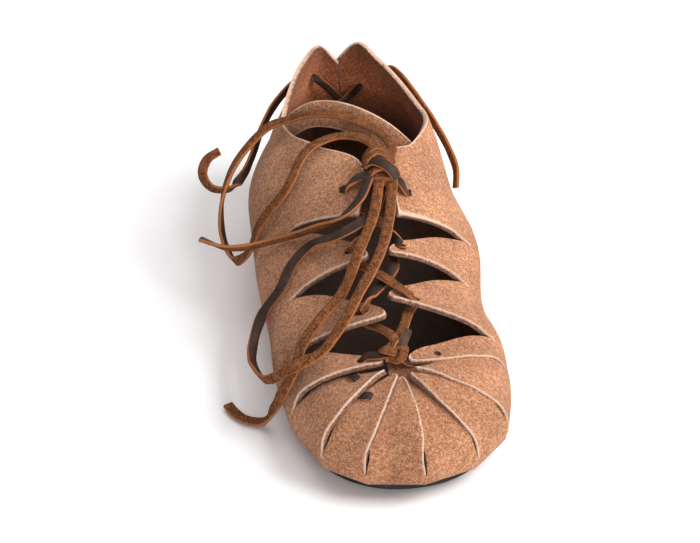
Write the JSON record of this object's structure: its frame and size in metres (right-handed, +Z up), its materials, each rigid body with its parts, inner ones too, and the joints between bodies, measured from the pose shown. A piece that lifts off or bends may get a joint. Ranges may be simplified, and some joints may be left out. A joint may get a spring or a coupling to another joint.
{
  "type": "leather sandal",
  "caption": "Open lace-up sandal cut from one suede hide, its straps and toe petals drawn together by a leather thong tied in a bow, on a thin flat rubber sole.",
  "frame": {"origin": "on the floor, in the middle of the shoe's box seen from above, without the free lace", "axes": "+X to the right of someone who faces the toe, +Y from the toe to the heel, +Z up from the floor"},
  "size_m": [0.1299, 0.2554, 0.0833],
  "materials": {
    "suede": "matt napped suede",
    "insole_leather": "dark smooth leather, a little polished by wear",
    "thong": "dark grain with bare cut edges",
    "sole_rubber": "matt"
  },
  "bodies": {
    "root": {"outsole": "sole_rubber", "insole": "insole_leather", "upper": "suede", "lace_cross_1": "thong", "lace_cross_2": "thong", "lace_cross_3": "thong", "lace_tie_left": "thong", "lace_tie_right": "thong", "lace_knot": "thong", "lace_loop_upper": "thong", "lace_loop_lower": "thong", "lace_end_upper": "thong", "lace_end_lower": "thong", "toe_thong": "thong", "heel_thong_cross": "thong", "heel_thong_left": "thong", "heel_thong_right": "thong"}
  },
  "joints": []
}
